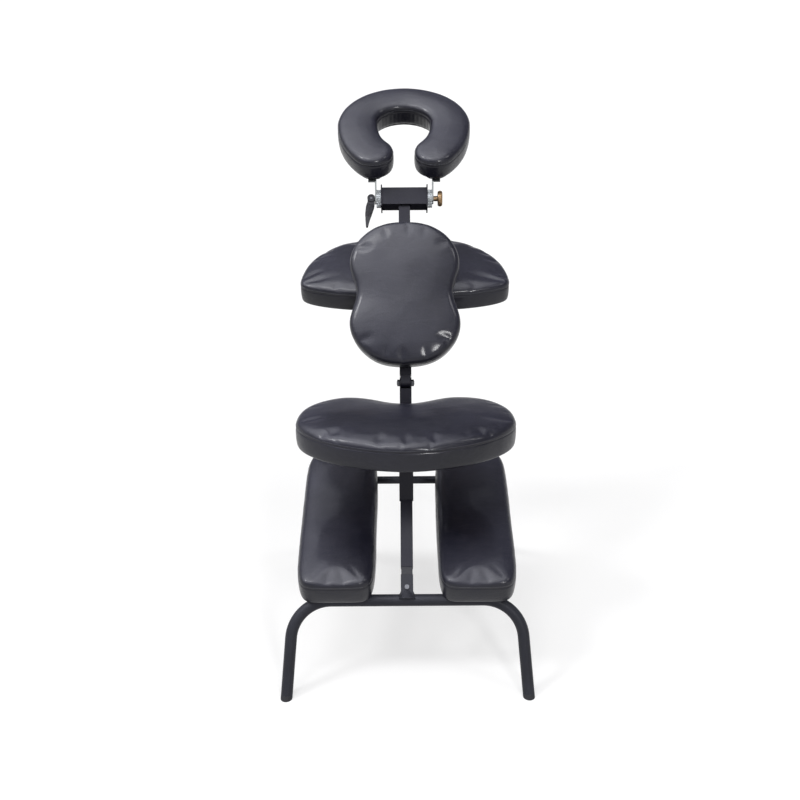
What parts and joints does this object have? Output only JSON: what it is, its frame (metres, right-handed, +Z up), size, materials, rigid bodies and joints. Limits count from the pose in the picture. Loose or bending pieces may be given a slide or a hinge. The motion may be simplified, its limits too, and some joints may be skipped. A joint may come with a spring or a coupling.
{
  "type": "tattoo chair",
  "caption": "Portable kneeling chair on a tube frame, with a notched seat, knee pads, chest pad, arm pad and a tilting horseshoe face cradle on a telescopic post.",
  "frame": {"origin": "centre of the chair's bounding box on the floor", "axes": "+Z up, +Y the way the sitter faces, +X to the sitter's right"},
  "size_m": [0.5372, 0.8608, 1.1374],
  "materials": {
    "black_leatherette": "satin",
    "plywood": "matte",
    "grey_leg_paint": "satin",
    "black_frame_paint": "satin",
    "foot_rubber": "matte",
    "zinc_fastener": "satin",
    "cast_aluminium": "satin",
    "black_plastic": "satin",
    "brass": "satin"
  },
  "bodies": {
    "base": {"rear_leg_frame": "grey_leg_paint", "spine_stub": "grey_leg_paint", "rear_feet": "foot_rubber", "knee_rails": "black_frame_paint", "crossbar_collars": "black_frame_paint", "leg_stops": "black_frame_paint", "spine_collar": "black_plastic", "spine_tube": "black_frame_paint", "spine_screw": "zinc_fastener", "front_strut": "black_frame_paint", "mast_foot": "black_frame_paint", "mast_bolt": "zinc_fastener", "mast_nut": "zinc_fastener", "seat_post": "black_frame_paint", "seat_plate": "black_frame_paint", "seat_board": "plywood", "seat_cushion": "black_leatherette", "seat_screws": "zinc_fastener", "knee_board_left": "plywood", "knee_board_right": "plywood", "knee_cushion_left": "black_leatherette", "knee_cushion_right": "black_leatherette", "knee_screws": "zinc_fastener"},
    "front_legs": {"front_leg_frame": "grey_leg_paint", "front_feet": "foot_rubber"},
    "mast": {"mast_tube": "black_frame_paint", "arm_hinge_bracket": "black_frame_paint", "arm_bolt": "zinc_fastener"},
    "post_knob": {"post_screw": "black_plastic"},
    "chest_rest": {"chest_sleeve": "black_frame_paint", "chest_bar": "black_frame_paint", "chest_board": "plywood", "chest_cushion": "black_leatherette", "chest_screws": "zinc_fastener"},
    "chest_knob": {"chest_lock_knob": "black_plastic"},
    "arm_rest": {"arm_carrier": "black_frame_paint", "arm_board": "plywood", "arm_cushion": "black_leatherette", "arm_screws": "zinc_fastener"},
    "head_stem": {"head_post": "black_frame_paint", "head_channel": "black_frame_paint", "end_plates": "black_frame_paint", "fixed_discs": "cast_aluminium", "clamp_rod": "zinc_fastener", "cam_pin": "zinc_fastener"},
    "face_rest": {"cradle_arms": "cast_aluminium", "cradle_plate": "black_plastic", "cradle_cushion": "black_leatherette", "cradle_screws": "zinc_fastener"},
    "cam_lever": {"cam_lever": "black_plastic"},
    "brass_knob": {"brass_knob": "brass"}
  },
  "joints": [
    {"name": "front_leg_fold", "type": "hinge", "parent": "base", "child": "front_legs", "pos_m": [0, 0.01472, 0.28545], "axis": [-1, 0, 0], "range_deg": [0, 95]},
    {"name": "mast_fold", "type": "hinge", "parent": "base", "child": "mast", "pos_m": [0, -0.04862, 0.56317], "axis": [-1, 0, 0], "range_deg": [-10, 75]},
    {"name": "post_knob_turn", "type": "hinge", "parent": "mast", "child": "post_knob", "pos_m": [0, 0.19547, 0.8769], "axis": [0, 0.8192, -0.5736], "continuous": true},
    {"name": "chest_slide", "type": "slide", "parent": "mast", "child": "chest_rest", "axis": [0, 0.5736, 0.8192], "range_m": [-0.03, 0.03]},
    {"name": "chest_knob_turn", "type": "hinge", "parent": "chest_rest", "child": "chest_knob", "pos_m": [0.02, 0.10395, 0.78106], "axis": [1, 0, 0], "continuous": true},
    {"name": "arm_tilt", "type": "hinge", "parent": "mast", "child": "arm_rest", "pos_m": [0, 0.071, 0.65032], "axis": [1, 0, 0], "range_deg": [-35, 0]},
    {"name": "post_slide", "type": "slide", "parent": "mast", "child": "head_stem", "axis": [0, 0.5736, 0.8192], "range_m": [0, 0.08]},
    {"name": "cradle_tilt", "type": "hinge", "parent": "head_stem", "child": "face_rest", "pos_m": [0, 0.19916, 0.91704], "axis": [1, 0, 0], "range_deg": [-30, 30]},
    {"name": "cam_lever_turn", "type": "hinge", "parent": "head_stem", "child": "cam_lever", "pos_m": [-0.0757, 0.19916, 0.91704], "axis": [0, 0.8192, -0.5736], "range_deg": [0, 100]},
    {"name": "brass_knob_turn", "type": "hinge", "parent": "head_stem", "child": "brass_knob", "pos_m": [0.07, 0.19916, 0.91704], "axis": [1, 0, 0], "continuous": true}
  ]
}
